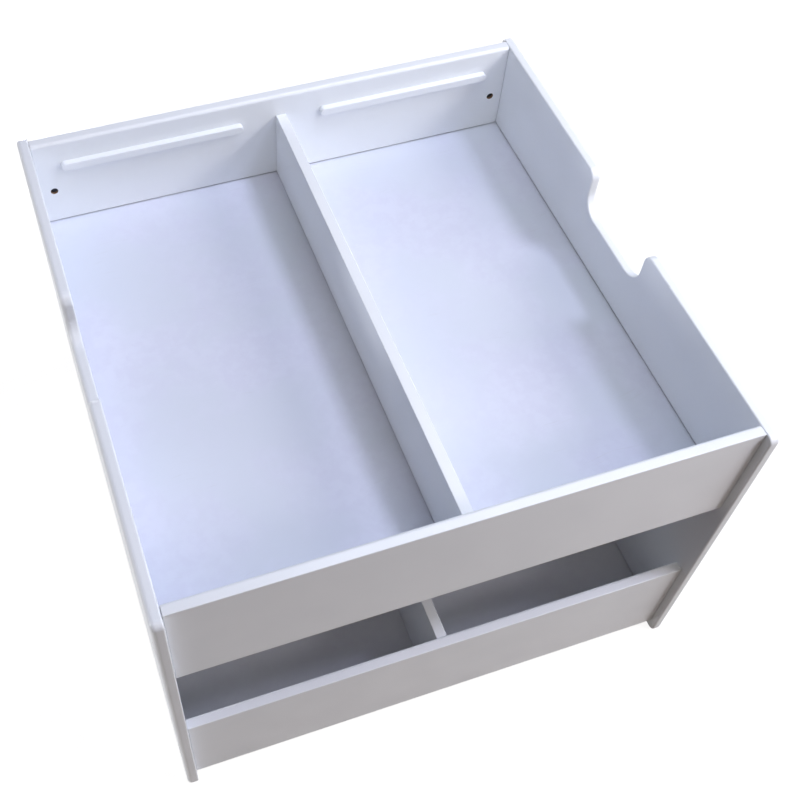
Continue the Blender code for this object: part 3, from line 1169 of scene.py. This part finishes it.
@dataclass(frozen=True)
class Rail(Board):
    """A rail: a board on edge between the panels, its top well rounded inside and crisp outside."""

    storey: Storey
    face: Face
    inner_round: Round = Round(0.004, 8)
    outer_round: Round = Round(0.001, 8)
    bottom_round: Round = Round(0.003, 8)
    end_round: Round = Round(0.0009, 3)
    nut_hole_overrun: float = 0.006
    bolt: BoltSizes = BoltSizes()

    @property
    def node(self) -> str:
        """The rail's CAD node."""
        return f"{word(self.storey)}_{word(self.face)}_rail"

    def shape(self) -> Piece:
        """Model the rail's board, with its arrises rounded.

        Returns:
            The piece.
        """
        low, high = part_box(self.node)
        rail = slab("painted_" + self.node, low, high)
        inner, outer = (high.y, low.y) if self.face is Face.FRONT else (low.y, high.y)
        for place, rounding in (
            ({Axis.Y: inner, Axis.Z: high.z}, self.inner_round),
            ({Axis.Y: outer, Axis.Z: high.z}, self.outer_round),
            ({Axis.Y: inner, Axis.Z: low.z}, self.bottom_round),
            ({Axis.Y: outer, Axis.Z: low.z}, self.bottom_round),
            ({Axis.X: low.x}, self.end_round),
            ({Axis.X: high.x}, self.end_round),
        ):
            round_over(rail, Element.EDGES, lying_at(place), rounding)
        return rail

    def fit_out(self, board: Piece, finishes: Finishes) -> None:
        """Cut the floor's groove and the holes for bolts, nuts and dowels.

        Args:
            board: the rail's board.
            finishes: the table's materials.
        """
        rout_groove(board, self.storey, finishes)
        for side in Side:
            self.bolt.bore(board, joint(self.storey, self.face, side) + "bolt", side, finishes)
            nut = Fitting(joint(self.storey, self.face, side) + "barrel_nut", Axis.Y)
            beyond = (HOLE_GAP, self.nut_hole_overrun)
            start, end = nut.stretched(*(beyond if self.face is Face.FRONT else reversed(beyond)))
            carve(board, rod("nut_hole", start, end, nut.radius() + HOLE_GAP), finishes.bare)
            drill_for_dowels(board, rail_dowels(self.storey, self.face, side), Axis.X, finishes)
        drill_for_dowels(board, divider_dowels(self.storey, self.face), Axis.Y, finishes)


@dataclass(frozen=True)
class FloorBoard(Board):
    """A thin floor, whose edges lie in the grooves of the panels and the rails."""

    slot: ClassVar[str] = FloorPaint.slot
    storey: Storey
    arris: Round = Round(0.0005, 2)

    @property
    def node(self) -> str:
        """The floor's CAD node."""
        return self.storey.value + "_floor"

    def shape(self) -> Piece:
        """Model the floor, with all its arrises eased.

        Returns:
            The piece.
        """
        floor = slab("panelled_" + self.node, *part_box(self.node))
        round_over(floor, Element.EDGES, lambda edge: True, self.arris)
        return floor

    def finish(self, finishes: Finishes) -> Material:
        """The floor's face: the tray's own colour, and for the bin a greyer copy of it set for the bin's shade, as
        painted light.
        """
        return finishes.floors[self.storey]


@dataclass(frozen=True)
class Divider(Board):
    """A divider: a board on edge from the front rail to the back one, its foot just clear of the floor."""

    storey: Storey
    top_round: Round = Round(0.001, 4)
    foot_round: Round = Round(0.0008, 4)
    foot_gap: float = 0.0008

    @property
    def node(self) -> str:
        """The divider's CAD node."""
        return self.storey.value + "_divider"

    def shape(self) -> Piece:
        """Model the divider, with its long arrises rounded.

        Returns:
            The piece.
        """
        low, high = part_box(self.node)
        low = low + Vector((0.0, 0.0, self.foot_gap))
        divider = slab("painted_" + self.node, low, high)
        for height, rounding in ((high.z, self.top_round), (low.z, self.foot_round)):
            round_over(
                divider, Element.EDGES,
                lambda edge, z=height: runs_along(edge, Axis.Y) and abs(edge.verts[0].co.z - z) < NEAR,
                rounding,
            )
        return divider

    def fit_out(self, board: Piece, finishes: Finishes) -> None:
        """Drill both ends for the dowels."""
        for face in Face:
            drill_for_dowels(board, divider_dowels(self.storey, face), Axis.Y, finishes)


@dataclass(frozen=True)
class Batten(Board):
    """A batten on an upper rail: a slim bar with round ends, on which the edge of a lid rests."""

    face: Face
    side: Side
    arris: Round = Round(0.0012, 5)
    end_segments: int = 10

    @property
    def node(self) -> str:
        """The batten's CAD node."""
        return f"{word(self.face)}_{word(self.side)}_batten"

    def shape(self) -> Piece:
        """Model the batten, with its ends round and its outer arrises eased.

        Returns:
            The piece.
        """
        low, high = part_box(self.node)
        batten = slab("painted_" + self.node, low, high)
        ends = Round((high.z - low.z) / 2 - NEAR, self.end_segments)
        round_over(batten, Element.EDGES, lambda edge: runs_along(edge, Axis.Y), ends)
        outer_y = low.y if self.face is Face.BACK else high.y
        round_over(batten, Element.EDGES, lying_at({Axis.Y: outer_y}), self.arris)
        return batten


@dataclass(frozen=True)
class Bolts:
    """The eight furniture bolts, one through each end joint of the rails."""

    slot: ClassVar[str] = "zinc_steel"
    sizes: BoltSizes = BoltSizes()

    def pattern(self, length: float) -> Piece:
        """One bolt, with the outer face of its head at the origin and its tip along minus X.

        Args:
            length: from the head's outer face to the tip.

        Returns:
            The piece.
        """
        sizes = self.sizes
        origin = Vector((0.0, 0.0, 0.0))
        bolt = rod("bolt_pattern", Vector((-sizes.head_thickness, 0.0, 0.0)), origin, sizes.head_radius)
        with editing(bolt):
            choose(bolt, Element.FACES, lambda face: face.normal.x < -ALONG)
            bpy.ops.mesh.inset(thickness=sizes.head_radius - sizes.shank_radius)
            extrude_along_x(sizes.head_thickness + sizes.tip_length - length)
            extrude_along_x(-sizes.tip_length)
            narrow_round_x(sizes.tip_share)
        round_over(bolt, Element.EDGES, lying_at({Axis.X: 0.0}), sizes.head_round)
        across_corners = sizes.socket_width / 2 / math.cos(math.pi / sizes.socket_sides)
        bottom = Vector((-sizes.socket_depth, 0.0, 0.0))
        mouth = Vector((CUT_OVERRUN, 0.0, 0.0))
        carve(bolt, rod("socket", bottom, mouth, across_corners, sizes.socket_sides))
        return bolt

    def build(self, finishes: Finishes) -> None:
        """Make the bolts and hang each in its place.

        Args:
            finishes: the table's materials.
        """
        copies = []
        for storey, face, side in product(Storey, Face, Side):
            node = joint(storey, face, side) + "bolt"
            low, high = Fitting(node, Axis.X).ends()
            head, turn = (high, 0.0) if side is Side.RIGHT else (low, math.pi)
            copies.append((node, Matrix.Translation(head) @ Matrix.Rotation(turn, 4, "Z"), finishes.zinc))
        low, high = Fitting(copies[0][0], Axis.X).ends()
        mount_copies(self.pattern(high.x - low.x), "turned", self.slot, copies)


@dataclass(frozen=True)
class BarrelNuts:
    """The eight barrel nuts, which lie in the rails and show in their holes."""

    slot: ClassVar[str] = "dark_steel"
    arris: Round = Round(0.0004, 2)
    driver_slot_width: float = 0.001
    driver_slot_depth: float = 0.0008
    bolt: BoltSizes = BoltSizes()

    def build_one(self, storey: Storey, face: Face, side: Side, finishes: Finishes) -> None:
        """Make one nut and hang it in its place.

        Args:
            storey: whose rail it is in.
            face: the rail that it is in.
            side: the end of the rail.
            finishes: the table's materials.
        """
        node = joint(storey, face, side) + "barrel_nut"
        fitting = Fitting(node, Axis.Y)
        start, end = fitting.ends()
        nut = rod("turned_" + node, start, end, fitting.radius())
        round_over(
            nut, Element.EDGES,
            lambda edge: sum(abs(link.normal.y) > ALONG for link in edge.link_faces) == 1,
            self.arris,
        )
        paint(nut, finishes.black)
        shown = start if face is Face.BACK else end
        reach = Vector((fitting.radius() + CUT_OVERRUN, self.driver_slot_depth, self.driver_slot_width / 2))
        carve(nut, slab("driver_slot", shown - reach, shown + reach))
        low, high = Fitting(joint(storey, face, side) + "bolt", Axis.X).ends()
        out = Vector((self.bolt.head_radius, 0.0, 0.0))
        carve(nut, rod("cross_bore", low - out, high + out, self.bolt.shank_radius + HOLE_GAP))
        mount(nut, node, self.slot)

    def build(self, finishes: Finishes) -> None:
        """Make all eight nuts."""
        for storey, face, side in product(Storey, Face, Side):
            self.build_one(storey, face, side, finishes)


@dataclass(frozen=True)
class Dowels:
    """The fluted beech dowels, two in each end joint of the rails and of the dividers."""

    chamfer: float = 0.001
    flutes: int = 16
    flute_share: float = 0.93

    def pattern(self, length: float, radius: float) -> Piece:
        """One dowel, lying along X with its middle at the origin.

        Args:
            length: its length.
            radius: half its thickness.

        Returns:
            The piece.
        """
        half = length / 2 - self.chamfer
        dowel = rod("dowel_pattern", Vector((-half, 0.0, 0.0)), Vector((half, 0.0, 0.0)), radius, self.flutes * 2)
        turn = math.pi / self.flutes
        with editing(dowel):
            choose(
                dowel, Element.VERTICES,
                lambda vertex: round(math.atan2(vertex.co.z, vertex.co.y) / turn) % 2 == 1,
            )
            narrow_round_x(self.flute_share)
            for way in (-1, 1):
                choose(dowel, Element.FACES, lambda face, way=way: face.normal.x * way > ALONG)
                extrude_along_x(way * self.chamfer)
                narrow_round_x(1 - self.chamfer / radius)
        return dowel

    def build(self, finishes: Finishes) -> None:
        """Make the dowels and hang each in its place.

        Args:
            finishes: the table's materials.
        """
        across = [Fitting(node, Axis.X) for ends in product(Storey, Face, Side) for node in rail_dowels(*ends)]
        along = [Fitting(node, Axis.Y) for ends in product(Storey, Face) for node in divider_dowels(*ends)]
        start, end = across[0].ends()
        pattern = self.pattern(end.x - start.x, across[0].radius())
        copies = []
        for dowel in across + along:
            start, end = dowel.ends()
            turn = Matrix.Rotation(math.pi / 2 if dowel.axis is Axis.Y else 0.0, 4, "Z")
            copies.append((dowel.node, Matrix.Translation((start + end) / 2) @ turn, finishes.beech[dowel.axis]))
        mount_copies(pattern, "fluted", BareBeech.slot, copies)


class LampKind(Enum):
    """A kind of lamp, as Blender's name of its type."""

    SUN = "SUN"
    DISK = "AREA"


@dataclass(frozen=True)
class Lamp:
    """A lamp that points at the middle of the table.

    Its strength is a sun's strength or a disk's power in watts, and its size a sun's spread in radians or a disk's
    width in metres.
    """

    name: str
    kind: LampKind
    place: Place
    colour: Colour
    strength: float
    size: float
    aim: Place = (0.0, 0.0, 0.3)

    def hang(self) -> None:
        """Add the lamp to the scene."""
        data = bpy.data.lights.new(self.name, self.kind.value)
        data.color = self.colour
        data.energy = self.strength
        if self.kind is LampKind.SUN:
            data.angle = self.size
        else:
            data.shape = "DISK"
            data.size = self.size
        lamp = bpy.data.objects.new(self.name, data)
        place = Vector(self.place)
        turn = (Vector(self.aim) - place).to_track_quat("-Z", "Y").to_matrix().to_4x4()
        lamp.matrix_world = Matrix.Translation(place) @ turn
        bpy.context.scene.collection.objects.link(lamp)


@dataclass(frozen=True)
class Studio:
    """The pale floor, the soft light and the camera at the photograph's angle.

    The camera's angles are in radians, and its focal length and shift in pixels of a frame that is 800 wide.
    """

    camera_place: Place = (-0.303, -0.690637, 1.293790)
    yaw: float = 0.368605
    pitch: float = -0.963568
    roll: float = 0.044279
    focal_length: float = 1142.84
    shift: tuple[float, float] = (-73.31, -2.13)
    frame_width: float = 800.0
    sensor_width: float = 36.0
    floor_size: float = 14.0
    floor_drop: float = 0.0002
    floor_bounce: Colour = (0.13, 0.075, 0.04)
    floor_shadow: float = 0.25
    floor_glow: float = 0.90
    sky: Colour = (0.85, 0.88, 1.0)
    sky_strength: float = 0.07
    lamps: tuple[Lamp, ...] = (
        Lamp("key", LampKind.SUN, (1.88, -0.68, 4.3), (0.73, 0.75, 1.0), 1.06, math.radians(12)),
        Lamp("right_front", LampKind.DISK, (0.95, -1.05, 1.15), (0.92, 0.87, 0.92), 7.1, 0.4),
        Lamp("right", LampKind.DISK, (1.3, -0.4, 1.2), (0.94, 0.97, 0.92), 8.0, 0.8),
        Lamp("top", LampKind.DISK, (0.25, 0.05, 1.3), (0.80, 0.87, 1.0), 3.6, 0.6),
        Lamp("front", LampKind.SUN, (-0.8, -2.4, 4.3), (1.0, 0.87, 0.68), 0.32, math.radians(40)),
        Lamp("low_front", LampKind.SUN, (0.2, -4.8, 4.3), (1.0, 0.85, 0.60), 0.07, math.radians(18)),
        Lamp("left", LampKind.DISK, (-1.8, -0.1, 1.0), (0.96, 0.97, 1.0), 2.0, 0.8),
        Lamp("low_left", LampKind.DISK, (-2.2, 0.1, 0.3), (0.94, 0.95, 1.0), 16.0, 0.5),
        Lamp("low_right", LampKind.DISK, (2.2, -0.5, 0.4), (0.88, 0.93, 1.0), 9.0, 0.5),
        Lamp("low_back", LampKind.DISK, (-0.3, 2.2, 0.3), (0.95, 0.95, 1.0), 16.0, 0.5),
    )

    def set_camera(self) -> None:
        """Put the camera where the photograph was taken."""
        forward = Vector((
            math.sin(self.yaw) * math.cos(self.pitch),
            math.cos(self.yaw) * math.cos(self.pitch),
            math.sin(self.pitch),
        ))
        level_right = Vector((math.cos(self.yaw), -math.sin(self.yaw), 0.0))
        level_up = level_right.cross(forward)
        right = level_right * math.cos(self.roll) + level_up * math.sin(self.roll)
        up = level_up * math.cos(self.roll) - level_right * math.sin(self.roll)
        data = bpy.data.cameras.new("camera")
        data.sensor_width = self.sensor_width
        data.lens = self.focal_length * self.sensor_width / self.frame_width
        data.shift_x = -self.shift[0] / self.frame_width
        data.shift_y = self.shift[1] / self.frame_width
        camera = bpy.data.objects.new("camera", data)
        turn = Matrix((right, up, -forward)).transposed().to_4x4()
        camera.matrix_world = Matrix.Translation(self.camera_place) @ turn
        bpy.context.scene.collection.objects.link(camera)
        bpy.context.scene.camera = camera

    @staticmethod
    def by_ray(wiring: Wiring, lighting: Socket, shown: Socket) -> Socket:
        """Light the object with one shader, and show another to the camera and in reflections and glass.

        Args:
            wiring: the wiring of the floor or the world.
            lighting: the shader that lights the object.
            shown: the shader that is seen.

        Returns:
            The mixed shader's socket.
        """
        path = wiring.node("ShaderNodeLightPath")
        shiny = wiring.maths("MAXIMUM", path.outputs["Is Glossy Ray"], path.outputs["Is Transmission Ray"])
        seen = wiring.maths("MAXIMUM", path.outputs["Is Camera Ray"], shiny)
        return wiring.node("ShaderNodeMixShader", {0: seen, 1: lighting, 2: shown}).outputs[0]

    def set_world(self) -> None:
        """Light the object a little from all round, in front of a plain white background."""
        world = bpy.data.worlds.new("studio")
        wiring = Wiring(cleared_tree(world))
        sky = wiring.node("ShaderNodeBackground", {"Color": self.sky, "Strength": self.sky_strength})
        white = wiring.node("ShaderNodeBackground", {"Color": WHITE, "Strength": 1.0})
        surface = self.by_ray(wiring, sky.outputs[0], white.outputs[0])
        wiring.node("ShaderNodeOutputWorld", {"Surface": surface})
        bpy.context.scene.world = world

    def set_floor(self) -> None:
        """Lay the pale floor, which shows white, keeps the table's shadow and is clear from underneath."""
        deselect_all()
        bpy.ops.mesh.primitive_plane_add(size=self.floor_size, location=(0.0, 0.0, -self.floor_drop))
        floor = new_piece("studio_floor")
        material = bpy.data.materials.new("studio_floor_white")
        wiring = Wiring(cleared_tree(material))
        bounce = wiring.node("ShaderNodeBsdfDiffuse", {"Color": self.floor_bounce})
        matt = wiring.node("ShaderNodeBsdfDiffuse", {"Color": (self.floor_shadow,) * 3})
        glow = wiring.node("ShaderNodeEmission", {"Color": WHITE, "Strength": self.floor_glow})
        shown = wiring.node("ShaderNodeAddShader", {0: matt.outputs[0], 1: glow.outputs[0]})
        above = self.by_ray(wiring, bounce.outputs[0], shown.outputs[0])
        clear = wiring.node("ShaderNodeBsdfTransparent")
        below = wiring.node("ShaderNodeNewGeometry").outputs["Backfacing"]
        surface = wiring.node("ShaderNodeMixShader", {0: below, 1: above, 2: clear.outputs[0]})
        wiring.node("ShaderNodeOutputMaterial", {"Surface": surface.outputs[0]})
        paint(floor, material)

    def build(self) -> None:
        """Set up the whole studio."""
        self.set_camera()
        for lamp in self.lamps:
            lamp.hang()
        self.set_world()
        self.set_floor()
        bpy.context.scene.view_settings.view_transform = "Standard"


def main() -> None:
    """Build the table's looks, piece by piece, and the studio round them."""
    logging.basicConfig(level=logging.INFO, format="%(message)s")
    finishes = Finishes.make()
    builders = [
        *(SidePanel(side) for side in Side),
        *(Rail(storey, face) for storey in Storey for face in Face),
        *(FloorBoard(storey) for storey in Storey),
        *(Divider(storey) for storey in Storey),
        *(Batten(face, side) for face in Face for side in Side),
        Bolts(),
        BarrelNuts(),
        Dowels(),
    ]
    for builder in builders:
        builder.build(finishes)
    Studio().build()


if __name__ == "__main__":
    main()
